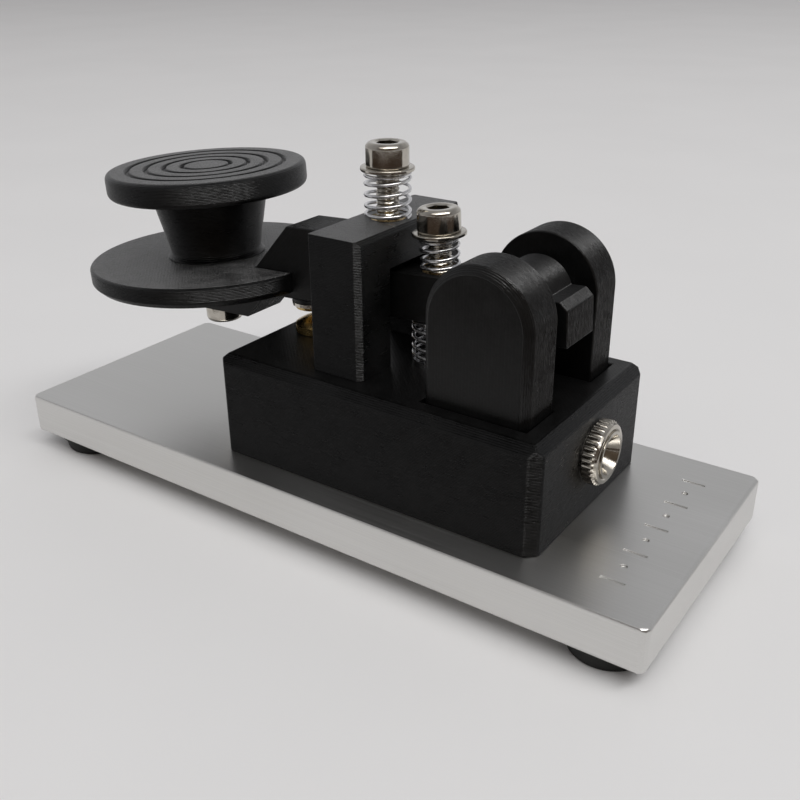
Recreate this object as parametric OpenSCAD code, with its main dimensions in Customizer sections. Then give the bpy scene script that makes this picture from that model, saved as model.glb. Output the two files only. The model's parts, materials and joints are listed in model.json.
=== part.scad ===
// Straight morse key on an aluminium base plate: printed body, sprung lever and 3.5 mm jack.
// Origin: middle of the base plate, at the bottom of the feet. +X to the jack, +Z up.

/* [Base plate] */
// Length of the flat bar
plate_l = 101.6; // [96:0.2:120]
// Width of the flat bar
plate_w = 38.1; // [36:0.1:50]
// Thickness of the flat bar
plate_t = 6; // [4.5:0.1:8]
// Height of the stick-on rubber feet
foot_h = 3; // [2:0.1:5]
// Radius of a foot's flange
foot_r = 5.8; // [4:0.1:6]
// Distance of the feet from the plate's edges
foot_inset = 6.6; // [6.2:0.1:10]

/* [Body] */
// Front end of the printed body along X
body_x0 = -13.5; // [-16:0.1:-13]
// Rear end of the printed body along X
body_x1 = 35.1; // [34.5:0.05:36]
// Width of the printed body
body_w = 29.4; // [28:0.1:34]
// Height of the printed body
body_h = 14.4; // [14.2:0.1:14.8]
// Chamfer of the body's upright corners
body_corner = 1.3; // [0.5:0.1:2]
// Chamfer of the body's top edges
body_top_edge = 1.25; // [0.5:0.05:2]

/* [Bridge] */
// Front face of the bridge along X
bridge_x0 = 0.9; // [0.8:0.05:1.2]
// Rear face of the bridge along X
bridge_x1 = 8.5; // [8:0.1:9]
// Width of the bridge
bridge_w = 23; // [21:0.5:25]
// Top of the bridge above the plate
bridge_top = 32.35; // [32:0.05:33]
// Width of the slot that the lever passes through
slot_w = 10; // [9:0.1:10.4]
// Top of the slot above the plate
slot_top = 27.5; // [27.3:0.05:28]

/* [Pivot] */
// Pivot axis along X
pivot_x = 24.85; // [24.7:0.05:25]
// Pivot axis above the plate
pivot_h = 25.6; // [25.5:0.05:25.7]
// Middle of the posts along X
post_x = 24.6; // [24.5:0.05:24.8]
// Radius of the posts' round tops
post_r = 7.1; // [6.9:0.05:7.2]
// Inner face of each post from the middle
post_in = 5.1; // [5:0.05:5.3]
// Outer face of each post from the middle
post_out = 11.5; // [11:0.1:12]

/* [Lever] */
// Slope of the lever at rest, front end low, in degrees
lever_tilt = 3; // [2.9:0.05:3.05]
// Width of the lever
lever_w = 7; // [6:0.1:7.5]
// Radius of the lever's hub
hub_r = 4.5; // [4.2:0.1:5]
// Finger axis in front of the pivot
finger_u = -51.52; // [-52:0.02:-51]
// Radius of the round finger skirt
skirt_r = 18.3; // [16:0.1:18.5]
// Thickness of the finger skirt
skirt_t = 2.9; // [2.5:0.1:3.4]
// Radius of the finger knob's rim
knob_r = 14.2; // [12:0.1:15]
// Thickness of the finger knob's rim
knob_t = 3.4; // [3:0.1:4.5]

/* [Contacts and springs] */
// Air gap between the contacts at rest
contact_gap = 0.8; // [0.5:0.05:1]
// Wire diameter of the lock springs
lock_wire = 0.45; // [0.35:0.05:0.5]
// Wire diameter of the return spring
return_wire = 0.5; // [0.4:0.05:0.6]

/* [Jack] */
// Height of the jack's axis above the plate
jack_h = 8; // [7.8:0.1:8.5]
// Bore of the jack
jack_bore_r = 1.8; // [1.77:0.01:1.85]

/* [Hidden] */
$fn = 64;
SMALL = 0.05;          // overshoot of a cutter past the face it cuts
SLIP = 0.02;           // radial clearance of a screw in its bore
plate_top = foot_h + plate_t;
body_top = plate_top + body_h;
body_mid = (body_x0 + body_x1) / 2;
pivot_z = plate_top + pivot_h;
rear_face = body_x1;

// Screws: M3 socket heads, and M3 countersunk screws under the plate
head_r = 2.75;
head_h = 3;
shank_r = 1.5;
hex_r = 1.44;
hex_depth = 1.6;
csk_r = 3;
csk_h = 1.6;
washer_r = 3.45;
washer_t = 0.5;
insert_r = 2.3;
insert_h = 4;

// Cavities in the body
channel_w = 8;
channel_h = 9;
channel_x0 = -11.5;
bay_x0 = 18;
bay_x1 = 32;
bay_w = 8.2;
bay_h = 12.7;
pocket_floor = 9.2;
tenon_depth = 4;
tenon_in = 6;
tenon_out = 10.5;
tenon_inset = 1.2;

// Lever outline, measured from the pivot: u to the rear, w up
beam_bottom = -4.2;
beam_top = 1.9;
block_top = 5.9;
block_front = -34.23;
block_rear = -24.3;
skirt_top = -0.48;
skirt_bottom = skirt_top - skirt_t;
skirt_cut = -34;
nose_bottom = -8.25;
nose_rear = -43.24;
nose_front = -58.8;
tail_end = 7.2;
tail_top = 1.3;
tail_edge = 1;
knob_top = 12.35;
knob_bottom = knob_top - knob_t;
stem_top_r = 8.4;
stem_bottom_r = 6.5;
groove_radii = [for (i = [0 : 3]) 3.45 + 2.55 * i];
ring_w = 0.7;
ring_depth = 0.5;
knob_head_bottom = -10.77;
knob_shank = 12.7;

// Gap screw on the bridge
bridge_mid = (bridge_x0 + bridge_x1) / 2;
tip_bevel = 0.5;
gap_head_z = plate_top + 38.85;
gap_spring_r = 2.87;
beam_top_at_gap = pivot_z + (bridge_mid - pivot_x) * tan(lever_tilt) + beam_top / cos(lever_tilt);
gap_tip_z = beam_top_at_gap + (shank_r - tip_bevel) * tan(lever_tilt) + 0.03;

// Tension screw on the lever
tension_u = -12.05;
tension_head = 6.85;
tension_shank = 12;
tension_spring_r = 2.38;
cap_r = 3.9;
cap_flange_t = 0.4;
cap_top = beam_bottom - 0.05;
cap_boss_r = 2.4;
cap_bottom = -6.2;
return_r = 3.8;
seat_t = 0.9;
return_x = 13.15;
return_top = pivot_z + tension_u * sin(lever_tilt) + (cap_top - cap_flange_t) * cos(lever_tilt) - 0.2;

// Contacts
contact_u = -32.9;
boss_r = 3.4;
boss_h = 0.7;
contact_washer_r = 3.45;
contact_washer_t = 0.5;
contact_r = 3;
contact_head_h = 1;
upper_face = beam_bottom - boss_h - contact_washer_t - contact_head_h;
lower_x = -7.5;
lower_r = 3.3;
upper_face_z = pivot_z + contact_u * sin(lever_tilt) + upper_face * cos(lever_tilt);
lower_face_z = upper_face_z - contact_gap;
nut_r = 3.1;
nut_h = 2.4;

// Ball bearings, 3 x 6 x 2.5
race_in_r = 1.5;
race_in_out = 1.9;
race_out_in = 2.62;
race_out_r = 3;
race_w = 2.5;
ball_r = 0.35;
ball_count = 7;
ball_orbit = (race_in_out + race_out_in) / 2;
pin_half = 10;
spacer_r = 2.2;

// Jack
bushing_r = 2.98;
bushing_x1 = rear_face + 2.35;
jack_body_r = 3.9;
jack_body_x0 = 20;
jack_front = bay_x1 - 0.1;
jack_bore_l = 14;
lug_l = 1.9;
jack_nut_r = 4.15;
jack_nut_t = 2.15;
wire_r = 0.6;

bridge_screw_y = 8.25;
post_screw = [23.5, 8.3];
base_screw_at = [[-9.5, 10.2], [30.6, 11]];

black = "#1d1d1f";
alloy = "#b9bbbd";
nickel = "#c9c5bb";
steel = "#d4d6d8";
brass = "#b8963e";

// ---- helpers ----

// Places its children in the lever's own frame: pivot at the origin, sloped as at rest.
module on_lever() {
    translate([pivot_x, 0, pivot_z]) rotate([0, -lever_tilt, 0]) children();
}

// Runs its children at y and at -y.
module both_sides() {
    children();
    mirror([0, 1, 0]) children();
}

// A cylinder along Y, centred on the middle plane.
module across(r, h) {
    rotate([90, 0, 0]) cylinder(r = r, h = h, center = true);
}

// A cylinder along X from x0 to x1.
module along(r, x0, x1) {
    translate([x0, 0, 0]) rotate([0, 90, 0]) cylinder(r = r, h = x1 - x0);
}

// A ring from z 0 to h.
module ring(r_out, r_in, h) {
    difference() {
        cylinder(r = r_out, h = h);
        translate([0, 0, -SMALL]) cylinder(r = r_in, h = h + 2 * SMALL);
    }
}

// A rectangle whose corners are cut at 45 degrees.
module cut_rectangle(l, w, c) {
    polygon([
        [-l / 2 + c, -w / 2], [l / 2 - c, -w / 2], [l / 2, -w / 2 + c], [l / 2, w / 2 - c],
        [l / 2 - c, w / 2], [-l / 2 + c, w / 2], [-l / 2, w / 2 - c], [-l / 2, -w / 2 + c]
    ]);
}

// An upright outline of width l and height h whose two top corners are cut.
module top_cut(l, h, c) {
    polygon([[-l / 2, 0], [l / 2, 0], [l / 2, h - c], [l / 2 - c, h], [-l / 2 + c, h], [-l / 2, h - c]]);
}

// A block on z 0 with cut upright corners and cut top edges.
module chamfered_block(l, w, h, corner, top) {
    intersection() {
        linear_extrude(h) cut_rectangle(l, w, corner);
        rotate([90, 0, 0]) linear_extrude(w, center = true) top_cut(l, h, top);
        rotate([90, 0, 90]) linear_extrude(l, center = true) top_cut(w, h, top);
    }
}

// A socket-head screw: the head stands on z 0 and the shank hangs below it.
module socket_screw(length) {
    difference() {
        union() {
            cylinder(r = head_r, h = head_h);
            translate([0, 0, -length + tip_bevel]) cylinder(r = shank_r, h = length - tip_bevel + SMALL);
            translate([0, 0, -length]) cylinder(r1 = shank_r - tip_bevel, r2 = shank_r, h = tip_bevel + SMALL);
        }
        translate([0, 0, head_h - hex_depth]) cylinder(r = hex_r, h = hex_depth + SMALL, $fn = 6);
    }
}

// A round head with a domed top of height cap, from z 0 to h.
module domed_head(r, h, cap) {
    dome_r = (r * r + cap * cap) / (2 * cap);
    intersection() {
        cylinder(r = r, h = h);
        translate([0, 0, h - dome_r]) sphere(r = dome_r, $fn = 96);
    }
}

// Height along a coil: closed end turns at both ends and open turns between them.
function coil_z(turn, turns, height, wire) =
    let (closed = wire * 1.08, span = height - wire - 2 * closed, open = span / (turns - 2))
    wire / 2 + (turn < 1 ? turn * closed
        : turn > turns - 1 ? closed + span + (turn - turns + 1) * closed
        : closed + (turn - 1) * open);

// A closed tube through rings of points, numbered 0 to last, with the same number of sides.
module tube(points, sides, last) {
    walls = [
        for (i = [0 : last - 1]) for (k = [0 : sides - 1]) let (n = (k + 1) % sides)
            for (corner = [[k, sides + k, sides + n], [k, sides + n, n]]) [for (c = corner) i * sides + c]
    ];
    start_cap = [[for (k = [0 : sides - 1]) k]];
    end_cap = [[for (k = [sides - 1 : -1 : 0]) last * sides + k]];
    polyhedron(points = points, faces = concat(start_cap, walls, end_cap));
}

// A compression spring of round wire, from z 0 to height.
module coil(r, wire, height, turns) {
    sides = 6;
    per_turn = 20;
    last = turns * per_turn;
    points = [
        for (i = [0 : last]) let (a = 360 * i / per_turn, z = coil_z(i / per_turn, turns, height, wire))
            for (k = [0 : sides - 1]) let (b = 360 * k / sides + 30, d = r + wire / 2 * cos(b))
                [d * cos(a), d * sin(a), z + wire / 2 * sin(b)]
    ];
    tube(points, sides, last);
}

// A round wire through the points of a path that never runs straight along Y.
module wire_run(path, r) {
    sides = 8;
    last = len(path) - 1;
    points = [
        for (i = [0 : last])
            let (ahead = path[min(i + 1, last)] - path[max(i - 1, 0)], across = cross(ahead, [0, 1, 0]))
            let (u = across / norm(across), side = cross(u, ahead), v = side / norm(side))
                for (k = [0 : sides - 1]) path[i] + r * (cos(360 * k / sides) * u + sin(360 * k / sides) * v)
    ];
    tube(points, sides, last);
}

// ---- base ----

module base_plate() {
    mark_pitch = 3.2;
    mark_w = 0.4;
    color(alloy) difference() {
        translate([0, 0, foot_h]) linear_extrude(plate_t) cut_rectangle(plate_l, plate_w, 0.6);
        both_sides() for (at = base_screw_at) translate([at.x, at.y, foot_h]) {
            translate([0, 0, -SMALL]) cylinder(r = shank_r + SLIP, h = plate_t + 2 * SMALL);
            translate([0, 0, -SMALL]) cylinder(r1 = csk_r + SMALL, r2 = shank_r, h = csk_h + SMALL);
        }
        // a plain engraved row of thin dashes and dots
        for (i = [-4 : 4]) translate([44, i * mark_pitch, plate_top - 0.2])
            if (i % 2 == 0) translate([-1.5, -mark_w / 2, 0]) cube([3, mark_w, 1]);
            else cylinder(r = mark_w, h = 1);
    }
}

module rubber_feet() {
    flange = 0.8;
    color("#141414") for (sx = [-1, 1], sy = [-1, 1])
        translate([sx * (plate_l / 2 - foot_inset), sy * (plate_w / 2 - foot_inset), 0]) {
            translate([0, 0, foot_h - flange]) cylinder(r = foot_r, h = flange);
            cylinder(r1 = foot_r - 0.9, r2 = foot_r - 0.4, h = foot_h - flange + SMALL);
        }
}

module base_screws() {
    reach = 12;
    color(steel) both_sides() for (at = base_screw_at) translate([at.x, at.y, foot_h]) difference() {
        union() {
            cylinder(r = shank_r, h = reach);
            cylinder(r1 = csk_r, r2 = shank_r, h = csk_h);
        }
        translate([0, 0, -SMALL]) cylinder(r = 1, h = 1.2, $fn = 6);
    }
}

// ---- body, bridge and posts ----

module key_body() {
    screw_r = shank_r + SLIP;
    color(black) difference() {
        translate([body_mid, 0, plate_top])
            chamfered_block(body_x1 - body_x0, body_w, body_h, body_corner, body_top_edge);
        translate([channel_x0, -channel_w / 2, plate_top - SMALL])
            cube([bay_x0 - channel_x0 + SMALL, channel_w, channel_h + SMALL]);
        translate([bay_x0, -bay_w / 2, plate_top - SMALL]) cube([bay_x1 - bay_x0, bay_w, bay_h + SMALL]);
        translate([0, 0, plate_top + jack_h]) along(bushing_r + SLIP, bay_x1 - SMALL, rear_face + SMALL);
        both_sides() {
            translate([post_x - post_r - 0.1, post_in - 0.1, plate_top + pocket_floor])
                cube([2 * post_r + 0.2, post_out - post_in + 0.2, body_h]);
            translate([bridge_x0 + tenon_inset - 0.1, tenon_in - 0.1, body_top - tenon_depth - 0.1])
                cube([bridge_x1 - bridge_x0 - 2 * tenon_inset + 0.2, tenon_out - tenon_in + 0.2, 9]);
            for (at = base_screw_at) translate([at.x, at.y, plate_top - SMALL]) cylinder(r = screw_r, h = 7);
            for (at = [[bridge_mid, bridge_screw_y], post_screw]) translate([at.x, at.y, plate_top - SMALL]) {
                cylinder(r = screw_r, h = body_h);
                cylinder(r = head_r + 0.2, h = head_h + 0.1);
            }
        }
        translate([lower_x, 0, plate_top]) cylinder(r = screw_r, h = body_h + SMALL);
        translate([return_x, 0, plate_top]) cylinder(r = screw_r, h = body_h + SMALL);
    }
}

module bridge() {
    w = bridge_w / 2;
    rear_edge = 0.7;
    front_edge = 0.15;
    top_edge = 0.5;
    height = bridge_top - body_h;
    color(black) difference() {
        union() {
            intersection() {
                translate([0, 0, body_top]) linear_extrude(height) polygon([
                    [bridge_x0 + front_edge, -w], [bridge_x1 - rear_edge, -w], [bridge_x1, -w + rear_edge],
                    [bridge_x1, w - rear_edge], [bridge_x1 - rear_edge, w], [bridge_x0 + front_edge, w],
                    [bridge_x0, w - front_edge], [bridge_x0, -w + front_edge]
                ]);
                translate([0, 0, body_top]) rotate([90, 0, 0]) linear_extrude(bridge_w, center = true) polygon([
                    [bridge_x0, 0], [bridge_x1, 0], [bridge_x1, height - top_edge],
                    [bridge_x1 - top_edge, height], [bridge_x0, height]
                ]);
            }
            both_sides() translate([bridge_x0 + tenon_inset, tenon_in, body_top - tenon_depth])
                cube([bridge_x1 - bridge_x0 - 2 * tenon_inset, tenon_out - tenon_in, tenon_depth + SMALL]);
        }
        translate([bridge_x0 - 1, -slot_w / 2, body_top - SMALL])
            cube([bridge_x1 - bridge_x0 + 2, slot_w, slot_top - body_h + SMALL]);
        translate([bridge_mid, 0, plate_top + bridge_top - insert_h]) cylinder(r = insert_r, h = 9);
        translate([bridge_mid, 0, plate_top + slot_top - SMALL]) cylinder(r = shank_r + 0.15, h = 9);
        both_sides() translate([bridge_mid, bridge_screw_y, body_top - tenon_depth - SMALL])
            cylinder(r = shank_r + SLIP, h = 10);
    }
}

module bridge_screws() {
    color(steel) both_sides() translate([bridge_mid, bridge_screw_y, plate_top + head_h])
        mirror([0, 0, 1]) socket_screw(16);
}

module post_screws() {
    color(steel) both_sides() translate([post_screw.x, post_screw.y, plate_top + head_h])
        mirror([0, 0, 1]) socket_screw(12);
}

// The post on the +Y side.
module post() {
    edge = 0.9;
    depth = post_out - post_in;
    foot = plate_top + pocket_floor + 0.1;
    arc_z = pivot_z - 0.3;
    color(black) difference() {
        union() {
            translate([post_x, post_in, arc_z]) rotate([-90, 0, 0]) {
                cylinder(r = post_r, h = depth - edge, $fn = 128);
                translate([0, 0, depth - edge]) cylinder(r1 = post_r, r2 = post_r - edge, h = edge, $fn = 128);
            }
            translate([post_x, post_in, foot]) linear_extrude(arc_z - foot) polygon([
                [-post_r, 0], [post_r, 0], [post_r, depth - edge], [post_r - edge, depth],
                [-post_r + edge, depth], [-post_r, depth - edge]
            ]);
        }
        translate([pivot_x, post_in - SMALL, pivot_z]) rotate([-90, 0, 0])
            cylinder(r = race_in_r + SLIP, h = pin_half - post_in + 0.2);
        translate([post_screw.x, post_screw.y, foot - SMALL]) cylinder(r = shank_r + SLIP, h = 6.4);
    }
}

module left_pivot_post() {
    mirror([0, 1, 0]) post();
}

module right_pivot_post() {
    post();
}

// ---- pivot ----

module pivot_pin() {
    color(steel) translate([pivot_x, 0, pivot_z]) across(race_in_r, 2 * pin_half);
}

module inner_races() {
    color(steel) both_sides() translate([pivot_x, lever_w / 2, pivot_z]) rotate([90, 0, 0])
        ring(race_in_out, race_in_r + SLIP / 2, race_w);
}

module outer_races() {
    color(steel) on_lever() both_sides() translate([0, lever_w / 2, 0]) rotate([90, 0, 0])
        ring(race_out_r, race_out_in, race_w);
}

module bearing_balls() {
    color(steel) both_sides() for (i = [0 : ball_count - 1])
        translate([pivot_x, (lever_w - race_w) / 2, pivot_z]) rotate([0, i * 360 / ball_count, 0])
            translate([ball_orbit, 0, 0]) sphere(r = ball_r, $fn = 24);
}

module bearing_spacers() {
    color(steel) both_sides() translate([pivot_x, post_in - 0.03, pivot_z]) rotate([90, 0, 0])
        ring(spacer_r, race_in_r + SLIP, post_in - lever_w / 2 - 0.06);
}

// ---- lever ----

module lever() {
    slope = block_top - skirt_top;
    color(black) on_lever() difference() {
        union() {
            rotate([90, 0, 0]) linear_extrude(lever_w, center = true) polygon([
                [tail_end, beam_bottom], [tail_end, tail_top - tail_edge], [tail_end - tail_edge, tail_top],
                [0, tail_top], [0, beam_top], [block_rear, beam_top], [block_rear, block_top],
                [block_front, block_top], [block_front - slope, skirt_top],
                [block_front - slope, skirt_bottom], [nose_front - skirt_bottom + nose_bottom, skirt_bottom],
                [nose_front, nose_bottom], [nose_rear, nose_bottom],
                [nose_rear - nose_bottom + beam_bottom, beam_bottom]
            ]);
            across(hub_r, lever_w);
            translate([contact_u, 0, beam_bottom - boss_h]) cylinder(r = boss_r, h = boss_h + SMALL);
        }
        across(race_out_in - 0.2, lever_w + 1);
        both_sides() translate([0, lever_w / 2 + SMALL, 0]) rotate([90, 0, 0])
            cylinder(r = race_out_r + SLIP / 2, h = race_w + SMALL);
        translate([finger_u, 0, nose_bottom - SMALL]) cylinder(r = shank_r + 0.1, h = 9);
        translate([finger_u, 0, nose_bottom - SMALL])
            cylinder(r = head_r + 0.1, h = knob_head_bottom + head_h - nose_bottom + SMALL);
        translate([tension_u, 0, beam_bottom - SMALL]) cylinder(r = shank_r + 0.15, h = 9);
        translate([tension_u, 0, beam_top - insert_h]) cylinder(r = insert_r, h = 9);
        translate([contact_u, 0, beam_bottom - boss_h - SMALL]) cylinder(r = insert_r, h = insert_h + 0.5);
        translate([0, 0, -1.5]) along(wire_r + 0.15, contact_u, tension_u);
    }
}

module finger_skirt() {
    under_edge = 0.8;
    upper_edge = 0.3;
    slope = block_top - skirt_top;
    color("#2b2b2d") on_lever() difference() {
        translate([finger_u, 0, skirt_bottom]) union() {
            cylinder(r1 = skirt_r - under_edge, r2 = skirt_r, h = under_edge, $fn = 128);
            translate([0, 0, under_edge])
                cylinder(r = skirt_r, h = skirt_t - under_edge - upper_edge, $fn = 128);
            translate([0, 0, skirt_t - upper_edge])
                cylinder(r1 = skirt_r, r2 = skirt_r - upper_edge, h = upper_edge, $fn = 128);
        }
        translate([skirt_cut, -skirt_r, skirt_bottom - 1]) cube([skirt_r, 2 * skirt_r, skirt_t + 2]);
        translate([block_front - slope - 0.05, -lever_w / 2 - 0.05, skirt_bottom - 1])
            cube([skirt_r, lever_w + 0.1, skirt_t + 2]);
        translate([finger_u, 0, skirt_bottom - 1]) cylinder(r = shank_r + 0.1, h = skirt_t + 2);
    }
}

module finger_knob() {
    lip = 0.8;
    foot = 0.7;
    color(black) on_lever() translate([finger_u, 0, 0]) difference() {
        union() {
            translate([0, 0, knob_bottom]) cylinder(r = knob_r - lip, h = knob_t, $fn = 128);
            translate([0, 0, knob_bottom + lip]) cylinder(r = knob_r, h = knob_t - 2 * lip, $fn = 128);
            for (z = [knob_bottom + lip, knob_top - lip]) translate([0, 0, z]) rotate_extrude($fn = 128)
                translate([knob_r - lip, 0]) circle(r = lip, $fn = 32);
            translate([0, 0, skirt_top])
                cylinder(r1 = stem_bottom_r, r2 = stem_top_r, h = knob_bottom - skirt_top + SMALL, $fn = 128);
            translate([0, 0, skirt_top])
                cylinder(r1 = stem_bottom_r + foot, r2 = stem_bottom_r, h = foot, $fn = 128);
        }
        for (r = groove_radii) translate([0, 0, knob_top - ring_depth])
            ring(r + ring_w / 2, r - ring_w / 2, 1);
        translate([0, 0, skirt_top - SMALL]) cylinder(r = insert_r, h = 6 + SMALL);
        translate([0, 0, skirt_top - SMALL]) cylinder(r = shank_r + 0.1, h = 7);
    }
}

module knob_insert() {
    color(brass) on_lever() translate([finger_u, 0, skirt_top]) ring(insert_r, shank_r + SLIP / 2, 6);
}

module knob_screw() {
    color(nickel) on_lever() translate([finger_u, 0, knob_head_bottom + head_h])
        mirror([0, 0, 1]) socket_screw(knob_shank);
}

module lever_wire() {
    color("#7a2020") on_lever() translate([0, 0, -1.5])
        along(wire_r, contact_u + insert_r, tension_u - insert_r);
}

// ---- gap screw ----

module gap_insert() {
    color(brass) translate([bridge_mid, 0, plate_top + bridge_top - insert_h])
        ring(insert_r, shank_r + SLIP, insert_h);
}

module gap_screw() {
    color(nickel) translate([bridge_mid, 0, gap_head_z])
        socket_screw(gap_head_z - gap_tip_z);
}

module gap_washer() {
    color(nickel) translate([bridge_mid, 0, gap_head_z - washer_t])
        ring(washer_r, shank_r + 0.05, washer_t - SLIP);
}

module gap_lock_spring() {
    foot = plate_top + bridge_top;
    color(steel) translate([bridge_mid, 0, foot + 0.01])
        coil(gap_spring_r, lock_wire, gap_head_z - washer_t - foot - 0.02, 5.25);
}

// ---- tension screw and return spring ----

module tension_insert() {
    color(brass) on_lever() translate([tension_u, 0, beam_top - insert_h])
        ring(insert_r, shank_r + SLIP, insert_h);
}

module tension_screw() {
    color(nickel) on_lever() translate([tension_u, 0, tension_head])
        socket_screw(tension_shank);
}

module tension_washer() {
    color(nickel) on_lever() translate([tension_u, 0, tension_head - washer_t])
        ring(washer_r, shank_r + 0.05, washer_t - SLIP);
}

module tension_lock_spring() {
    color(steel) on_lever() translate([tension_u, 0, beam_top + 0.01])
        coil(tension_spring_r, lock_wire, tension_head - washer_t - beam_top - 0.02, 4.5);
}

module spring_cap() {
    color(steel) on_lever() translate([tension_u, 0, 0]) difference() {
        union() {
            translate([0, 0, cap_top - cap_flange_t]) cylinder(r = cap_r, h = cap_flange_t);
            translate([0, 0, cap_bottom]) cylinder(r = cap_boss_r, h = cap_top - cap_bottom);
        }
        translate([0, 0, tension_head - tension_shank - SLIP]) cylinder(r = shank_r + SLIP, h = 3);
    }
}

module return_spring() {
    foot = body_top + seat_t + 0.02;
    color(steel) translate([return_x, 0, foot]) coil(return_r, return_wire, return_top - foot, 4.5);
}

module spring_seat() {
    color(steel) translate([return_x, 0, 0]) {
        translate([0, 0, body_top + 0.01]) cylinder(r = return_r + 0.1, h = seat_t - 0.01);
        translate([0, 0, plate_top + channel_h - 1.5]) cylinder(r = shank_r, h = body_h - channel_h + 1.4);
    }
}

// ---- contacts ----

module upper_contact() {
    color(brass) on_lever() translate([contact_u, 0, upper_face + contact_head_h]) {
        mirror([0, 0, 1]) domed_head(contact_r, contact_head_h, 0.5);
        cylinder(r = shank_r, h = 4.9);
    }
}

module contact_washer() {
    color(nickel) on_lever() translate([contact_u, 0, upper_face + contact_head_h + SLIP])
        ring(contact_washer_r, shank_r + SLIP, contact_washer_t - SLIP);
}

module contact_insert() {
    color(brass) on_lever() translate([contact_u, 0, beam_bottom - boss_h + 0.2])
        ring(insert_r, shank_r + SLIP, insert_h);
}

module lower_contact() {
    head = lower_face_z - body_top;
    color(brass) translate([lower_x, 0, body_top]) {
        domed_head(lower_r, head, 1.2);
        translate([0, 0, -body_h + 5]) cylinder(r = shank_r, h = body_h - 5 + SMALL);
    }
}

module contact_nut() {
    color(steel) translate([lower_x, 0, plate_top + channel_h - nut_h - 0.02]) difference() {
        cylinder(r = nut_r, h = nut_h, $fn = 6);
        translate([0, 0, -SMALL]) cylinder(r = shank_r + SLIP, h = nut_h + 1);
    }
}

// ---- jack ----

module jack_body() {
    color("#222222") translate([0, 0, plate_top + jack_h]) difference() {
        along(jack_body_r, jack_body_x0, jack_front);
        along(jack_bore_r, bushing_x1 - jack_bore_l, jack_front + SMALL);
    }
}

module jack_bushing() {
    mouth_l = 1.6;
    mouth_r = 2.6;
    color(nickel) translate([0, 0, plate_top + jack_h]) difference() {
        along(bushing_r, jack_front, bushing_x1);
        along(jack_bore_r, jack_front - SMALL, bushing_x1 + SMALL);
        translate([bushing_x1 - mouth_l, 0, 0]) rotate([0, 90, 0])
            cylinder(r1 = jack_bore_r, r2 = mouth_r, h = mouth_l + SMALL);
    }
}

module jack_nut() {
    color(nickel) translate([rear_face + 0.02, 0, plate_top + jack_h]) rotate([0, 90, 0])
        ring(jack_nut_r, bushing_r + SLIP, jack_nut_t);
}

module jack_terminals() {
    lug = [lug_l, 0.4, 1.6];
    color(brass) for (y = [-2, 0, 2])
        translate([jack_body_x0 - lug.x, y - lug.y / 2, plate_top + jack_h - lug.z / 2]) cube(lug);
}

module signal_wire() {
    y = -2;
    color("#a02020") wire_run([
        [jack_body_x0 - lug_l - 0.5, y, plate_top + jack_h], [16, y, plate_top + jack_h - 3.5],
        [14, y, plate_top + 2], [-3, y, plate_top + 2], [-5.6, -1.4, plate_top + 3], [lower_x, -0.2, plate_top + 4.2]
    ], wire_r);
}

module ground_wire() {
    color("#303030") wire_run([
        [jack_body_x0 - lug_l - 0.3, 2, plate_top + jack_h], [16.2, 2, plate_top + 7.2],
        [14.7, 1.3, plate_top + 6.2], [13.4, 0.4, plate_top + 6.6]
    ], wire_r);
}

base_plate();
rubber_feet();
base_screws();
key_body();
bridge();
bridge_screws();
left_pivot_post();
right_pivot_post();
post_screws();
pivot_pin();
inner_races();
bearing_balls();
outer_races();
bearing_spacers();
lever();
finger_skirt();
finger_knob();
knob_insert();
knob_screw();
gap_insert();
gap_screw();
gap_washer();
gap_lock_spring();
tension_insert();
tension_screw();
tension_washer();
tension_lock_spring();
spring_cap();
return_spring();
spring_seat();
upper_contact();
contact_washer();
contact_insert();
lever_wire();
lower_contact();
contact_nut();
jack_body();
jack_bushing();
jack_nut();
jack_terminals();
signal_wire();
ground_wire();
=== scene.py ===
"""Straight morse key: finished pieces, materials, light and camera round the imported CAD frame."""

import json
import math

import bmesh
import bpy
import numpy as np
from mathutils import Matrix, Vector


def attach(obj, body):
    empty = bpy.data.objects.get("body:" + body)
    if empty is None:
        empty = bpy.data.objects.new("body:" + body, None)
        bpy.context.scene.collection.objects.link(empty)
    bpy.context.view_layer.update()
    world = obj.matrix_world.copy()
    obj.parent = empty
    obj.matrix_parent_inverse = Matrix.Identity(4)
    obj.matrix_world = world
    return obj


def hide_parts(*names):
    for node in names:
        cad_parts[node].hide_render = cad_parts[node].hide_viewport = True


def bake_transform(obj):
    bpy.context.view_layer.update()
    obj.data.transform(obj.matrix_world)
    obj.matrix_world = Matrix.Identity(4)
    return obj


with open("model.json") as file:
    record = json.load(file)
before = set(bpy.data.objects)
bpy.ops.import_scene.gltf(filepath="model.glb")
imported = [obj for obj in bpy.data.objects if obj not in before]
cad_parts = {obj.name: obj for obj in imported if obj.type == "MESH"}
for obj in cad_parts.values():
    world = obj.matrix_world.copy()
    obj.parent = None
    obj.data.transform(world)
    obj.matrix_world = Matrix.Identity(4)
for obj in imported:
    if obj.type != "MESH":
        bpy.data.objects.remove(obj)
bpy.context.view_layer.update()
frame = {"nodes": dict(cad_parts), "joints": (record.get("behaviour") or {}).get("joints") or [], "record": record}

MM = 0.001
NODES = frame["nodes"]
BODIES = frame["record"]["behaviour"]["bodies"]
JOINTS = {joint["name"]: joint for joint in frame["joints"]}
BODY_OF = {node: body for body, members in BODIES.items() for node in members}
UP = Vector((0, 0, 1))
ACROSS = Vector((0, 1, 0))

# M3 socket-head screws
PITCH = 0.5 * MM
THREAD_DEPTH = 0.15 * MM
HEAD_HEIGHT = 3 * MM
SHANK = 1.5 * MM
SOCKET_FLAT = 1.25 * MM
SOCKET_DEPTH = 1.6 * MM

# Springs
LOCK_WIRE = 0.45 * MM
RETURN_WIRE = 0.5 * MM
RETURN_TURNS = 4.5
RETURN_SPLIT = 2.5

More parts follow.
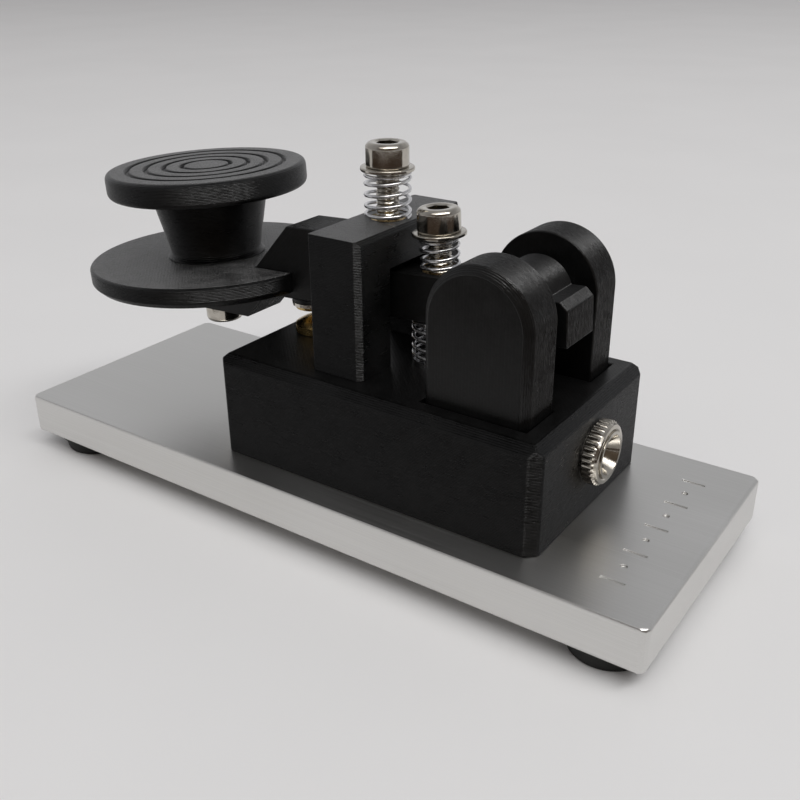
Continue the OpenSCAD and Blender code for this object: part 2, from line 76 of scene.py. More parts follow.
# Printed parts: height of a layer, width of a printed line, and how deep both show
LAYER = 0.2 * MM
LINE = 0.42 * MM
RELIEF = 0.11 * MM

# Angles in degrees past which an edge stays sharp
CAD_EDGE = 32
TURNED_EDGE = 35
WIRE_EDGE = 50


# ---- places ----


def place(origin, up=UP, ahead=None):
    """A frame at origin with its Z along up, and its X along ahead or level."""
    z = Vector(up).normalized()
    x = Vector(ahead) if ahead is not None else ACROSS.cross(z)
    x = (x - z * x.dot(z)).normalized()
    turned = Matrix((x, z.cross(x), z)).transposed().to_4x4()
    turned.translation = Vector(origin)
    return turned


# The lever leans at rest, so its pieces are made in a frame at the pivot that leans with it.
LEVER = place(JOINTS["key_press"]["pos_m"], up=-Vector(JOINTS["tension_travel"]["axis"]))


def extent(node, where=None):
    """(lowest, highest) corner of a CAD node in the frame where, or in the row frame."""
    back = (where or Matrix.Identity(4)).inverted()
    points = np.array([back @ v.co for v in NODES[node].data.vertices])
    return Vector(points.min(0)), Vector(points.max(0))


def on_axis(node, where=None):
    """The frame where, moved sideways to the middle of a node, and the node's lowest and highest Z in it."""
    low, high = extent(node, where)
    middle = (low + high) / 2
    shift = Matrix.Translation((middle.x, middle.y, 0))
    return (where or Matrix.Identity(4)) @ shift, low.z, high.z


def half_width(node, where, axis=0):
    """Half of how wide a CAD node is along one axis of the frame where."""
    low, high = extent(node, where)
    return (high[axis] - low[axis]) / 2


# ---- materials ----


class Finish:
    """One procedural material, with a short method for each kind of node."""

    def __init__(self, name, roughness, metallic=0.0, specular=0.5):
        self.material = bpy.data.materials.new(name)
        self.material.use_nodes = True
        self.tree = self.material.node_tree
        self.shader = self.tree.nodes["Principled BSDF"]
        self.set("Roughness", roughness)
        self.set("Metallic", metallic)
        self.set("Specular IOR Level", specular)
        self.position = self.make("ShaderNodeTexCoord").outputs["Object"]
        self.normal = self.position.node.outputs["Normal"]

    def make(self, kind, **settings):
        """A new node with its settings."""
        node = self.tree.nodes.new(kind)
        for name, value in settings.items():
            setattr(node, name, value)
        return node

    def put(self, value, socket):
        """Links a socket to a socket, or sets a socket's own value."""
        if isinstance(value, bpy.types.NodeSocket):
            self.tree.links.new(value, socket)
        else:
            socket.default_value = value

    def set(self, name, value):
        """Links or sets one input of the shader."""
        self.put(value, self.shader.inputs[name])

    def math(self, operation, *values):
        node = self.make("ShaderNodeMath", operation=operation)
        for value, socket in zip(values, node.inputs):
            self.put(value, socket)
        return node.outputs[0]

    def total(self, *parts):
        """The sum of (value, weight) pairs."""
        weighted = [self.math("MULTIPLY", value, weight) for value, weight in parts]
        result = weighted[0]
        for value in weighted[1:]:
            result = self.math("ADD", result, value)
        return result

    def along(self, direction, vector=None):
        """How far the position, or another vector, reaches along a direction."""
        node = self.make("ShaderNodeVectorMath", operation="DOT_PRODUCT")
        self.put(vector or self.position, node.inputs[0])
        self.put(tuple(direction), node.inputs[1])
        return node.outputs["Value"]

    def noise(self, size, stretch=(1, 1, 1), detail=2.0, rough=0.5):
        """Noise from 0 to 1 in patches about size across, which stretch makes longer along each axis."""
        mapping = self.make("ShaderNodeMapping")
        self.put(self.position, mapping.inputs["Vector"])
        self.put(tuple(1 / (size * s) for s in stretch), mapping.inputs["Scale"])
        noise = self.make("ShaderNodeTexNoise")
        self.put(mapping.outputs[0], noise.inputs["Vector"])
        for name, value in (("Scale", 1.0), ("Detail", detail), ("Roughness", rough)):
            self.put(value, noise.inputs[name])
        return noise.outputs["Fac"]

    def spread(self, value, low, high, start=0.0, end=1.0):
        """value from low to high becomes start to end, and stays at those beyond."""
        node = self.make("ShaderNodeMapRange")
        names = ("Value", "From Min", "From Max", "To Min", "To Max")
        for name, number in zip(names, (value, low, high, start, end)):
            self.put(number, node.inputs[name])
        return node.outputs[0]

    def steps(self, distance, size):
        """(random number of each step, ridge across it) for steps of one size along a distance."""
        count = self.math("DIVIDE", distance, size)
        random = self.make("ShaderNodeTexWhiteNoise", noise_dimensions="1D")
        self.put(self.math("FLOOR", count), random.inputs["W"])
        ridge = self.math("ABSOLUTE", self.math("SINE", self.math("MULTIPLY", count, math.pi)))
        return random.outputs["Value"], ridge

    def blend(self, share, first, second):
        """first where share is 0 and second where it is 1."""
        node = self.make("ShaderNodeMix", data_type="FLOAT")
        for value, socket in ((share, "Factor"), (first, "A"), (second, "B")):
            self.put(value, node.inputs[socket])
        return node.outputs[0]

    def colour(self, share, first, second):
        """Base colour from first to second. The mix node's colours are its inputs 6 and 7 and output 2."""
        node = self.make("ShaderNodeMix", data_type="RGBA")
        self.put(share, node.inputs["Factor"])
        self.put((*first, 1), node.inputs[6])
        self.put((*second, 1), node.inputs[7])
        self.set("Base Color", node.outputs[2])

    def bump(self, height, depth):
        """Raises the surface by depth where height is 1, over any bump made before."""
        node = self.make("ShaderNodeBump")
        self.put(height, node.inputs["Height"])
        self.put(depth, node.inputs["Distance"])
        self.put(1.0, node.inputs["Strength"])
        below = self.shader.inputs["Normal"].links
        if below:
            self.put(below[0].from_socket, node.inputs["Normal"])
        self.set("Normal", node.outputs[0])


def printed(name, stacked, lines, shine=0.27, top=(0.003, 0.006), top_shine=0.27):
    """Black printed plastic: layers stacked along one direction, and printed lines on the faces across it.

    Each layer rounds back towards the next. shine is how strongly the layers' edges reflect and top_shine
    how strongly the faces across them do. top is how pale those faces are painted, at least and at most,
    which is a painted sheen.
    """
    f = Finish(name, roughness=0.3)
    stacked, lines = Vector(stacked).normalized(), Vector(lines).normalized()
    upright = f.along(stacked)
    layer, _ = f.steps(upright, LAYER)
    line, line_ridge = f.steps(f.along(stacked.cross(lines)), LINE)
    # flat is 1 on faces across the stack and 0 on the layers' edges.
    flat = f.spread(f.math("ABSOLUTE", f.along(stacked, f.normal)), 0.93, 0.985)
    thin = tuple(1 if abs(s) > 0.7 else 5 for s in stacked)
    endless = tuple(1 if s == 1 else 400 for s in thin)
    dashes = f.noise(0.16 * MM, stretch=thin, detail=2)
    courses = f.noise(0.45 * MM, stretch=endless, detail=3, rough=0.65)
    patches = f.noise(2.5 * MM, detail=3)
    grain = f.noise(0.42 * MM, detail=4, rough=0.75)

    rise = f.math("FRACT", f.math("DIVIDE", upright, LAYER))
    rounded = f.math("SUBTRACT", 1.0, f.math("MULTIPLY", rise, rise))
    broken = f.math("MULTIPLY", rounded, f.spread(dashes, 0.35, 0.65, 0.8, 1.0))
    edges = f.total((broken, 1.0), (layer, 0.1), (courses, 0.06))
    tops = f.total((line, 0.05), (line_ridge, 0.2 * top_shine), (grain, 3.0 * top_shine**2))
    f.bump(f.blend(flat, edges, tops), RELIEF)

    uneven = f.math("ADD", f.blend(flat, courses, grain), patches)
    edge_rough = f.spread(uneven, 0.6, 1.4, 0.24, 0.36)
    top_rough = f.spread(uneven, 0.6, 1.4, 0.3, 0.44)
    f.set("Roughness", f.blend(flat, edge_rough, top_rough))
    f.set("Specular IOR Level", f.blend(flat, shine, top_shine))

    # Painted sheen: faces across the stack get a paler base colour than the layers' edges, speckled by grain and
    # patches.
    sheen_speckle = f.total((grain, 0.6), (patches, 0.4))
    edge_tone = f.spread(patches, 0.3, 0.75, 0.001, 0.003)
    painted_top_sheen = f.spread(sheen_speckle, 0.4, 0.64, *top)
    f.set("Base Color", f.blend(flat, edge_tone, painted_top_sheen))
    return f.material


def brushed_plate():
    """Satin aluminium bar with faint lines along its length and small marks from handling."""
    f = Finish("plate_satin", roughness=0.34, metallic=1.0)
    streaks = f.noise(0.12 * MM, stretch=(260, 1, 1), detail=3)
    bloom = f.noise(14 * MM, stretch=(2, 1, 1), detail=2)
    specks = f.noise(0.5 * MM, detail=2)
    f.bump(streaks, 0.006 * MM)
    f.bump(specks, 0.004 * MM)
    wear = f.total((streaks, 0.5), (bloom, 0.5))
    f.set("Roughness", f.spread(wear, 0.3, 0.7, 0.27, 0.4))
    f.colour(f.spread(wear, 0.3, 0.7), (0.65, 0.645, 0.625), (0.75, 0.745, 0.73))
    return f.material


def plated(name, dark, light, roughness):
    """Plated or bare metal with fine turning marks, faint stains and small dents."""
    f = Finish(name, roughness=roughness, metallic=1.0)
    marks = f.noise(0.1 * MM, detail=3)
    stains = f.noise(1.5 * MM, detail=3)
    f.bump(marks, 0.004 * MM)
    f.bump(stains, 0.02 * MM)
    f.set("Roughness", f.spread(stains, 0.3, 0.7, roughness * 0.7, roughness * 1.4))
    f.colour(f.spread(stains, 0.3, 0.7), dark, light)
    return f.material


def soft_plastic(name, dark, light, roughness, depth):
    """Moulded plastic or rubber with dusty patches and a fine grained skin, depth mm deep."""
    f = Finish(name, roughness=roughness, specular=0.35)
    skin = f.noise(0.15 * MM, detail=2)
    dust = f.noise(2.2 * MM, detail=4)
    f.bump(skin, depth * MM)
    f.set("Roughness", f.spread(dust, 0.3, 0.7, roughness * 0.85, roughness * 1.2))
    f.colour(f.spread(dust, 0.35, 0.75), dark, light)
    return f.material


# The body's top is dark and glossy. The tops of the bridge, the knob and the skirt are coarse, and their paler
# base colour is a painted sheen.
DIAGONAL = (-1, 1, 0)
PRINT_UP = printed("print_upright", UP, DIAGONAL)
PRINT_BRIDGE = printed("print_of_bridge", UP, DIAGONAL, top=(0.01, 0.07), top_shine=0.9)
PRINT_LEVER = printed("print_on_lever", LEVER.col[2].to_3d(), DIAGONAL, top=(0.01, 0.11), top_shine=1.0)
PRINT_SIDE = printed("print_on_side", -ACROSS, UP, shine=0.45)
PRINT_ARM = printed("print_of_arm", -ACROSS, (1, 0, 1), shine=0.45)
PLATE = brushed_plate()
NICKEL = plated("nickel", (0.42, 0.39, 0.345), (0.6, 0.57, 0.51), 0.12)
STEEL = plated("bright_steel", (0.68, 0.68, 0.69), (0.86, 0.86, 0.87), 0.2)
BRASS = plated("brass", (0.42, 0.29, 0.11), (0.66, 0.48, 0.2), 0.24)
RUBBER = soft_plastic("foot_rubber", (0.006, 0.006, 0.006), (0.02, 0.02, 0.019), 0.62, 0.02)
MOULDED = soft_plastic("jack_plastic", (0.01, 0.01, 0.011), (0.022, 0.022, 0.023), 0.42, 0.008)
RED_WIRE = soft_plastic("red_insulation", (0.22, 0.012, 0.012), (0.32, 0.03, 0.025), 0.38, 0.006)
BLACK_WIRE = soft_plastic("black_insulation", (0.008, 0.008, 0.009), (0.02, 0.02, 0.02), 0.4, 0.006)


# ---- pieces ----


def piece(name, mesh, material):
    """A new object for a mesh, with its material."""
    obj = bpy.data.objects.new(name, mesh)
    bpy.context.scene.collection.objects.link(obj)
    mesh.materials.clear()
    mesh.materials.append(material)
    return obj


def stand_for(obj, *nodes):
    """obj rides where the CAD nodes ride, and is shown in their place."""
    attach(obj, BODY_OF[nodes[0]])
    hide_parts(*nodes)
    return obj


def smooth(mesh, sharp):
    """Smooth shading, except over edges sharper than that many degrees."""
    mesh.polygons.foreach_set("use_smooth", [True] * len(mesh.polygons))
    mesh.set_sharp_from_angle(angle=math.radians(sharp))


def from_cad(name, node, material, width, weight=None):
    """A copy of a CAD node with its corners welded and its edges softened by width.

    weight(middle), if given, is the share of that width which the edge with that middle gets.
    """
    mesh = NODES[node].data.copy()
    bm = bmesh.new()
    bm.from_mesh(mesh)
    bmesh.ops.remove_doubles(bm, verts=bm.verts, dist=1e-7)
    bmesh.ops.dissolve_limit(bm, angle_limit=math.radians(0.5), verts=bm.verts, edges=bm.edges)
    amount = bm.edges.layers.float.new("bevel_weight_edge")
    for edge in bm.edges:
        angle = edge.calc_face_angle(0.0)
        middle = (edge.verts[0].co + edge.verts[1].co) / 2
        if angle > math.radians(CAD_EDGE):
            edge[amount] = weight(middle) if weight else 1.0
    bm.to_mesh(mesh)
    bm.free()
    obj = piece(name, mesh, material)
    smooth(mesh, CAD_EDGE)
    bevel = obj.modifiers.new("soft_edges", "BEVEL")
    bevel.limit_method = "WEIGHT"
    bevel.width = width
    bevel.segments = 3
    bevel.use_clamp_overlap = False
    shading = obj.modifiers.new("flat_faces", "WEIGHTED_NORMAL")
    shading.keep_sharp = True
    shading.weight = 100
    return stand_for(obj, node)


def round_corners(points, radius, count=4):
    """The same outline with its inner points rounded, as far as the sides beside them allow."""
    points = [Vector(p) for p in points]
    made = [points[0]]
    for before, corner, after in zip(points, points[1:], points[2:]):
        reach = min(radius, (before - corner).length * 0.45, (after - corner).length * 0.45)
        start = corner + (before - corner).normalized() * reach
        end = corner + (after - corner).normalized() * reach
        for i in range(count + 1):
            t = i / count
            made.append(start * (1 - t) ** 2 + corner * 2 * t * (1 - t) + end * t**2)
    return [tuple(p) for p in made + [points[-1]]]


def angles(sides):
    """Angles of that many even steps round a circle."""
    return np.arange(sides) * 2 * math.pi / sides


def stack(name, where, rings, material, sides=96, closed=False):
    """A turned piece from rings (radius, height) one after the other.

    A radius is one number, or one for each side. A closed piece joins its last ring to its first, and any
    other has both ends capped.
    """
    around = angles(sides)
    rows = [np.stack([r * np.cos(around), r * np.sin(around), np.full(sides, z)], 1) for r, z in rings]
    points = [where @ Vector(p) for row in rows for p in row]
    last = len(rings) if closed else len(rings) - 1
    faces = []
    for i in range(last):
        low, high = i * sides, (i + 1) % len(rings) * sides
        faces += [(low + k, low + (k + 1) % sides, high + (k + 1) % sides, high + k) for k in range(sides)]
    if not closed:
        faces += [tuple(reversed(range(sides))), tuple(last * sides + k for k in range(sides))]
    mesh = bpy.data.meshes.new(name)
    mesh.from_pydata(points, [], faces)
    bm = bmesh.new()
    bm.from_mesh(mesh)
    bmesh.ops.recalc_face_normals(bm, faces=bm.faces)
    bm.to_mesh(mesh)
    bm.free()
    smooth(mesh, TURNED_EDGE)
    return piece(name, mesh, material)


def hexagon(flat, sides):
    """Radii of a six-sided outline whose flats are that far from the middle."""
    return flat / np.cos((angles(sides) + math.pi / 6) % (math.pi / 3) - math.pi / 6)


def thread(low, high, sides):
    """Rings of a screw's helical thread from height low to high, which runs out at both ends."""
    rings = []
    per_turn = 8
    count = int((high - low) / PITCH * per_turn)
    for i in range(count + 1):
        z = low + (high - low) * i / count
        phase = (z / PITCH - angles(sides) / (2 * math.pi)) % 1
        fade = min(1, i / per_turn, (count - i) / per_turn)
        groove = np.clip(1.25 - np.abs(phase - 0.5) * 2.5, 0, 1)
        rings.append((SHANK - THREAD_DEPTH * fade * groove, z))
    return rings


def socket_screw(name, node, where, flip=False, turn=0.0):
    """A socket-head screw in place of its node: head with a rolled rim, hex socket and threaded shank."""
    sides = 96
    where = where @ Matrix.Rotation(turn, 4, "Z")
    spot, low, high = on_axis(node, where)
    if flip:
        spot = spot @ Matrix.Rotation(math.pi, 4, "X")
        low, high = -high, -low
    head = half_width(node, spot)
    seat = high - HEAD_HEIGHT
    floor = high - SOCKET_DEPTH
    mouth = SOCKET_FLAT / math.cos(math.pi / 6) + 0.18 * MM
    tip, neck, chamfer, rim = 0.5 * MM, 0.2 * MM, 0.2 * MM, 0.42 * MM

    rings = [(SHANK - tip, low), (SHANK - 0.02 * MM, low + 0.48 * MM)]
    rings += thread(low + tip, seat - 0.3 * MM, sides)
    outline = [
        (SHANK, seat - neck), (SHANK, seat), (head - 0.06 * MM, seat), (head, seat + chamfer),
        (head, high - rim), (head - rim, high), (mouth, high),
    ]
    rings += round_corners(outline, 0.25 * MM)
    rings += [
        (mouth - 0.03 * MM, high - 0.01 * MM),
        (hexagon(SOCKET_FLAT, sides), high - 0.16 * MM),
        (hexagon(SOCKET_FLAT, sides), floor),
        (SOCKET_FLAT * 0.9, floor - 0.02 * MM),
        (0.1 * MM, floor - 0.4 * MM),
    ]
    return stand_for(stack(name, spot, rings, NICKEL, sides), node)


def washer(name, node, where):
    """A flat washer with rounded rims."""
    spot, low, high = on_axis(node, where)
    bore = SHANK + 0.05 * MM
    outer = half_width(node, spot)
    middle = (bore + outer) / 2
    outline = [(middle, low), (outer, low), (outer, high), (bore, high), (bore, low), (middle, low)]
    rings = round_corners(outline, 0.16 * MM)[:-1]
    return stand_for(stack(name, spot, rings, NICKEL, closed=True), node)


def coil_height(turn, turns, height, wire):
    """Height along a coil: closed end turns at both ends, and open turns between them."""
    closed = wire * 1.08
    span = height - wire - 2 * closed
    if turn < 1:
        rise = turn * closed
    elif turn > turns - 1:
        rise = closed + span + (turn - turns + 1) * closed
    else:
        rise = closed + (turn - 1) * span / (turns - 2)
    return wire / 2 + rise


def spring(name, node, where, wire, turns, moved_by, part=None):
    """A compression spring in place of its node, wound from the node's lowest point to its highest. moved_by, the
    body below it and the one above, is not used.

    part is the first and last turn of this piece of it, which is the whole spring unless it is given.
    """
    spot, low, high = on_axis(node, where)
    radius = half_width(node, spot, axis=1) - wire / 2
    sides, per_turn = 12, 40
    first, last = part or (0, turns)
    heights = []
    points = []
    for i in range(round(first * per_turn), int(last * per_turn) + 1):
        a = 2 * math.pi * i / per_turn
        z = low + coil_height(i / per_turn, turns, high - low, wire)
        heights.append(z)
        for b in angles(sides):
            d = radius + wire / 2 * math.cos(b)
            points.append(spot @ Vector((d * math.cos(a), d * math.sin(a), z + wire / 2 * math.sin(b))))
    end = len(heights) - 1
    faces = [tuple(range(sides)), tuple(end * sides + k for k in reversed(range(sides)))]
    for i in range(end):
        near, far = i * sides, (i + 1) * sides
        faces += [(near + k, far + k, far + (k + 1) % sides, near + (k + 1) % sides) for k in range(sides)]
    mesh = bpy.data.meshes.new(name)
    mesh.from_pydata(points, [], faces)
    smooth(mesh, WIRE_EDGE)
    obj = piece(name, mesh, STEEL)
    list(moved_by)
    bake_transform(obj)
    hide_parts(node)
    return obj


def carry(node, material):
    """A CAD node that is shown as it is, with a finished material."""
    NODES[node].data.materials.clear()
    NODES[node].data.materials.append(material)


# ---- base ----


def bar():
    """The flat alloy bar. Its outer edges are rounded, and the edges of the engraved marks hardly."""
    _, high = extent("base_plate")
    rim = 1.2 * MM

    def weight(p):
        outside = min(high.x - abs(p.x), high.y - abs(p.y)) < rim
        return 1.0 if outside else 0.12

    from_cad("alloy_bar", "base_plate", PLATE, 0.42 * MM, weight)


def feet():
    """Four rubber feet: a flange against the bar, and a tapered pad with a dished underside."""
    _, high = extent("rubber_feet")
    flange, flange_t = 5.8 * MM, 0.8 * MM
    pad, dish = 4.9 * MM, 0.35 * MM
    under, top = high.z - flange_t, high.z
    outline = [
        (pad * 0.3, dish), (pad * 0.55, dish), (pad * 0.75, 0), (pad, 0),
        (flange - 0.45 * MM, under), (flange, under), (flange, top), (flange * 0.5, top),
    ]
    rings = round_corners(outline, 0.35 * MM)
    for number, (sx, sy) in enumerate([(-1, -1), (1, -1), (1, 1), (-1, 1)], 1):
        where = Matrix.Translation((sx * (high.x - flange), sy * (high.y - flange), 0))
        foot = stack(f"rubber_foot_{number}", where, rings, RUBBER, 64)
        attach(foot, BODY_OF["rubber_feet"])
        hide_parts("rubber_feet")


# ---- printed parts ----


def printed_parts():
    """The printed parts that keep the CAD shape, with softened edges."""
    from_cad("printed_body", "key_body", PRINT_UP, 0.22 * MM)
    from_cad("printed_bridge", "bridge", PRINT_BRIDGE, 0.1 * MM)
    from_cad("near_post", "left_pivot_post", PRINT_SIDE, 0.2 * MM)
    from_cad("far_post", "right_pivot_post", PRINT_SIDE, 0.2 * MM)
    from_cad("lever_arm", "lever", PRINT_ARM, 0.15 * MM)
    from_cad("skirt_disc", "finger_skirt", PRINT_LEVER, 0.15 * MM)


def knob():
    """The finger knob: a rounded rim, four grooves in the top, and a tapered stem on a flared foot."""
    spot, low, high = on_axis("finger_knob", LEVER)
    rim = half_width("finger_knob", spot, axis=1)
    under = high - 3.4 * MM
    inside, foot, waist, shoulder = 4 * MM, 7.2 * MM, 6.5 * MM, 8.4 * MM
    land, middle = 12 * MM, 1.5 * MM
    outline = [
        (inside, low), (foot, low), (waist, low + 0.7 * MM), (shoulder, under),
        (rim, under), (rim, high), (land, high),
    ]
    rings = round_corners(outline, 0.95 * MM, 8)[:-1]

    groove, depth, slant = 0.7 * MM, 0.5 * MM, 0.06 * MM
    first, apart, grooves = 3.45 * MM, 2.55 * MM, 4
    top = [(land, high)]
    for number in reversed(range(grooves)):
        outer = first + number * apart + groove / 2
        inner = outer - groove
        top += [(outer, high), (outer - slant, high - depth), (inner + slant, high - depth), (inner, high)]
    rings += round_corners(top + [(middle, high)], 0.12 * MM, 3)
    stand_for(stack("grooved_knob", spot, rings, PRINT_LEVER, 144), "finger_knob")


# ---- metal parts ----


def screws_and_springs():
    """The gap screw on the bridge, the tension screw on the lever, the knob's screw, and the springs."""
    row = Matrix.Identity(4)
    socket_screw("gap_socket_screw", "gap_screw", row, turn=math.radians(20))
    socket_screw("tension_socket_screw", "tension_screw", LEVER, turn=math.radians(50))
    socket_screw("knob_socket_screw", "knob_screw", LEVER, flip=True)
    washer("gap_flat_washer", "gap_washer", row)
    washer("tension_flat_washer", "tension_washer", LEVER)
    spring("gap_coil", "gap_lock_spring", row, LOCK_WIRE, 5.25, ("base", "gap_carriage"))
    spring("tension_coil", "tension_lock_spring", LEVER, LOCK_WIRE, 4.5, ("key_lever", "tension_carriage"))
    # The return spring spans two joints, so it is two pieces, split at RETURN_SPLIT turns.
    for name, moved_by, part in (
        ("return_coil_lower", ("base", "key_lever"), (0, RETURN_SPLIT)),
        ("return_coil_upper", ("key_lever", "tension_carriage"), (RETURN_SPLIT, RETURN_TURNS)),
    ):
        spring(name, "return_spring", row, RETURN_WIRE, RETURN_TURNS, moved_by, part)


def contacts():
    """The lower contact: a domed brass head on a shank that goes down through the body."""
    spot, low, high = on_axis("lower_contact")
    radius, cap, edge = 3.3 * MM, 1.2 * MM, 0.05 * MM
    seat = extent("key_body")[1].z
    # The dome's last ring stops just short of the middle.
    count, pole = 13, 12.4
    dome = [(radius * (1 - i / pole), high - cap * (1 - i / pole) ** 2) for i in range(count)]
    outline = [(SHANK, low), (SHANK, seat), (radius - 0.08 * MM, seat), (radius, seat + 0.1 * MM)]
    rings = round_corners(outline, edge)
    stand_for(stack("lower_brass_contact", spot, rings + dome, BRASS), "lower_contact")


def jack():
    """The jack's knurled nut, with chamfered teeth and a plain rim at each end."""
    nut_low, nut_high = extent("jack_nut")
    where = place((0, 0, nut_low.z / 2 + nut_high.z / 2), up=(1, 0, 0), ahead=UP)
    spot, low, high = on_axis("jack_nut", where)
    outer = extent("jack_nut", spot)[1].x
    bore = extent("jack_bushing", spot)[1].x + 0.02 * MM
    teeth, per_tooth = 32, 8
    sides = teeth * per_tooth
    wave = np.clip(np.abs((np.arange(sides) / per_tooth) % 1 - 0.5) * 3.2 - 0.3, 0, 1)
    ridge = outer - 0.28 * MM * wave
    plain = outer - 0.38 * MM
    step = plain + 0.02 * MM
    rings = [
        (bore, low + 0.15 * MM), (bore + 0.15 * MM, low),
        (plain, low), (step, low + 0.08 * MM),
        (ridge, low + 0.32 * MM), (ridge, high - 0.62 * MM),
        (step, high - 0.4 * MM), (plain, high - 0.3 * MM), (plain - 0.04 * MM, high - 0.12 * MM),
        (plain - 0.22 * MM, high), (bore + 0.25 * MM, high), (bore, high - 0.2 * MM),
    ]
    stand_for(stack("knurled_nut", spot, rings, NICKEL, sides, closed=True), "jack_nut")


bar()
feet()
printed_parts()
knob()
screws_and_springs()
contacts()
jack()

# CAD nodes that are shown as they are: the pieces held inside, and plain turned pieces
CARRIED = {
    "base_screws": STEEL,
    "bridge_screws": STEEL,
    "post_screws": STEEL,
    "pivot_pin": STEEL,
    "inner_races": STEEL,
    "bearing_balls": STEEL,
    "outer_races": STEEL,
    "bearing_spacers": STEEL,
    "knob_insert": BRASS,
    "gap_insert": BRASS,
    "tension_insert": BRASS,
    "spring_cap": STEEL,
    "spring_seat": STEEL,
    "upper_contact": BRASS,
    "contact_washer": NICKEL,
    "contact_insert": BRASS,
    "lever_wire": RED_WIRE,
    "contact_nut": STEEL,
    "jack_body": MOULDED,
    "jack_bushing": NICKEL,
    "jack_terminals": BRASS,
    "signal_wire": RED_WIRE,
    "ground_wire": BLACK_WIRE,
}
for carried_node, carried_material in CARRIED.items():
    carry(carried_node, carried_material)


# ---- floor, light and camera ----

# Metres, and degrees for the camera's yaw, pitch and roll before they are turned into radians
FLOOR_RADIUS = 4
PAINTED_REFLECTION_LIFT = 0.5 * MM
AIM = Vector((0, 0, 30 * MM))
CAMERA_PLACE = Vector((76.57, -99.50, 74.80)) * MM
CAMERA_TURN = [math.radians(degrees) for degrees in (125.228, -25.791, -0.492)]
CAMERA_LENS = 44.26


def floor():
    """A wide pale sheet of paper under the feet."""
    f = Finish("floor_paper", roughness=0.85, specular=0.15)
    f.bump(f.noise(0.4 * MM, detail=3), 0.01 * MM)
    f.colour(f.noise(60 * MM, detail=3), (0.8, 0.798, 0.8), (0.85, 0.848, 0.85))
    bm = bmesh.new()
    bmesh.ops.create_circle(bm, cap_ends=True, segments=96, radius=FLOOR_RADIUS)
    mesh = bpy.data.meshes.new("floor")
    bm.to_mesh(mesh)
    bm.free()
    mesh.materials.append(f.material)
    sheet = bpy.data.objects.new("floor", mesh)
    bpy.context.scene.collection.objects.link(sheet)


def painted_reflection_sheet():
    """A dark brown sheet on the floor, in a sector towards the camera, which shows only in reflections: a painted
    dark reflection on the metal parts from the camera's side.
    """
    f = Finish("painted_reflection_brown", roughness=0.8, specular=0.1)
    # Painted reflection: the dark brown that the metal parts reflect from the camera's side.
    f.colour(f.noise(8 * MM, detail=3), (0.05, 0.034, 0.024), (0.075, 0.052, 0.038))
    near, far = 80 * MM, 500 * MM
    middle, half, count = -54.8, 84, 28
    turns = [math.radians(middle - half + 2 * half * i / count) for i in range(count + 1)]
    points = [(r * math.cos(a), r * math.sin(a), PAINTED_REFLECTION_LIFT) for r in (near, far) for a in turns]
    faces = [(i, count + 1 + i, count + 2 + i, i + 1) for i in range(count)]
    mesh = bpy.data.meshes.new("painted_reflection_sheet")
    mesh.from_pydata(points, [], faces)
    mesh.materials.append(f.material)
    sheet = bpy.data.objects.new("painted_reflection_sheet", mesh)
    sheet.visible_camera = False
    sheet.visible_diffuse = False
    sheet.visible_shadow = False
    bpy.context.scene.collection.objects.link(sheet)


def area_light(name, azimuth, elevation, distance, size, power, colour=(1, 1, 1)):
    """A soft rectangular light that shines at the key. The azimuth is from +X towards +Y, in degrees."""
    a, e = math.radians(azimuth), math.radians(elevation)
    away = Vector((math.cos(a) * math.cos(e), math.sin(a) * math.cos(e), math.sin(e)))
    data = bpy.data.lights.new(name, "AREA")
    data.shape = "RECTANGLE"
    data.size, data.size_y = size
    data.energy = power
    data.color = colour
    lamp = bpy.data.objects.new(name, data)
    lamp.location = AIM + away * distance
    lamp.rotation_mode = "QUATERNION"
    lamp.rotation_quaternion = (-away).to_track_quat("-Z", "Y")
    lamp.visible_camera = False
    bpy.context.scene.collection.objects.link(lamp)


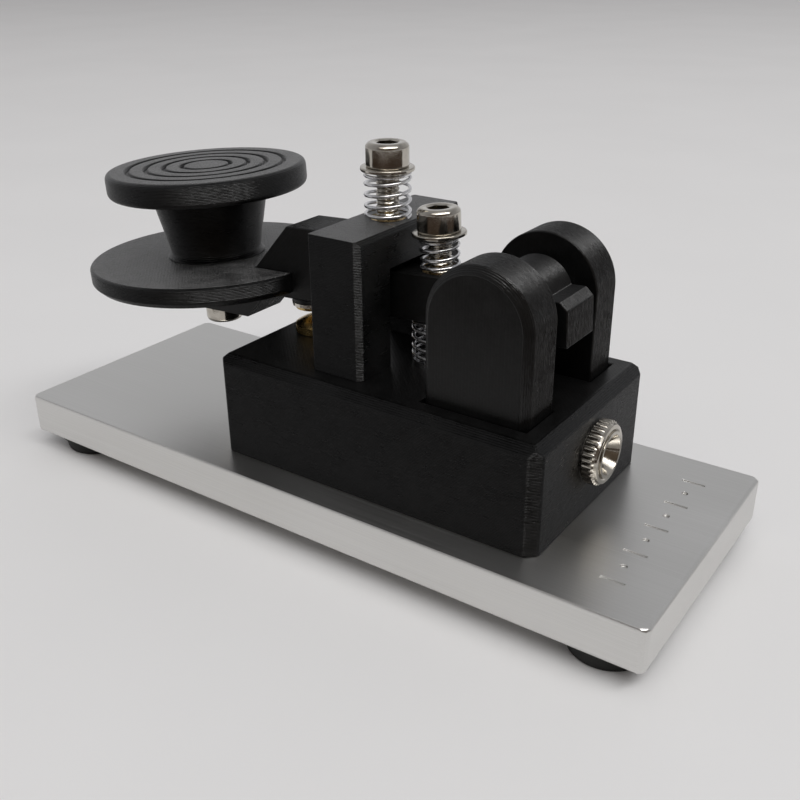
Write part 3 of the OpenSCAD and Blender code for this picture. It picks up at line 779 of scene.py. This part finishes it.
def light():
    """A pale room that dims to brown behind the camera, a wide soft light overhead and a long window."""
    world = bpy.data.worlds.new("room")
    bpy.context.scene.world = world
    world.use_nodes = True
    nodes, links = world.node_tree.nodes, world.node_tree.links
    toward = nodes.new("ShaderNodeVectorMath")
    toward.operation = "DOT_PRODUCT"
    toward.inputs[1].default_value = (0.52, -0.63, 0.55)
    links.new(nodes.new("ShaderNodeTexCoord").outputs["Generated"], toward.inputs[0])
    share = nodes.new("ShaderNodeMapRange")
    share.inputs["From Min"].default_value = -1
    links.new(toward.outputs["Value"], share.inputs["Value"])
    ramp = nodes.new("ShaderNodeValToRGB")
    shades = (
        (0.08, (0.68, 0.68, 0.69)),
        (0.28, (0.48, 0.48, 0.49)),
        (0.7, (0.32, 0.32, 0.33)),
        (0.95, (0.11, 0.085, 0.065)),
    )
    stops = ramp.color_ramp.elements
    for number, (position, shade) in enumerate(shades):
        # A new ramp has two stops already.
        stop = stops[number] if number < 2 else stops.new(position)
        stop.position = position
        stop.color = (*shade, 1)
    links.new(share.outputs[0], ramp.inputs[0])
    links.new(ramp.outputs["Color"], nodes["Background"].inputs["Color"])
    area_light("overhead_softbox", -40, 66, 1.7, (2.4, 1.0), 9.5, (1, 0.99, 0.98))
    area_light("window", -30, 60, 1.7, (1.9, 0.28), 12.5)


def camera():
    """The camera stands past the jack's end, on the -Y side, and looks down at the key."""
    yaw, pitch, roll = CAMERA_TURN
    ahead = Vector((math.cos(yaw) * math.cos(pitch), math.sin(yaw) * math.cos(pitch), math.sin(pitch)))
    side = ahead.cross(UP).normalized()
    over = side.cross(ahead)
    right = side * math.cos(roll) + over * math.sin(roll)
    top = over * math.cos(roll) - side * math.sin(roll)
    data = bpy.data.cameras.new("camera")
    data.sensor_width = 36
    data.lens = CAMERA_LENS
    data.clip_start = 0.005
    cam = bpy.data.objects.new("camera", data)
    cam.matrix_world = Matrix((right, top, -ahead)).transposed().to_4x4()
    cam.location = CAMERA_PLACE
    bpy.context.scene.collection.objects.link(cam)
    bpy.context.scene.camera = cam


floor()
painted_reflection_sheet()
light()
camera()
bpy.context.scene.view_settings.view_transform = "Standard"
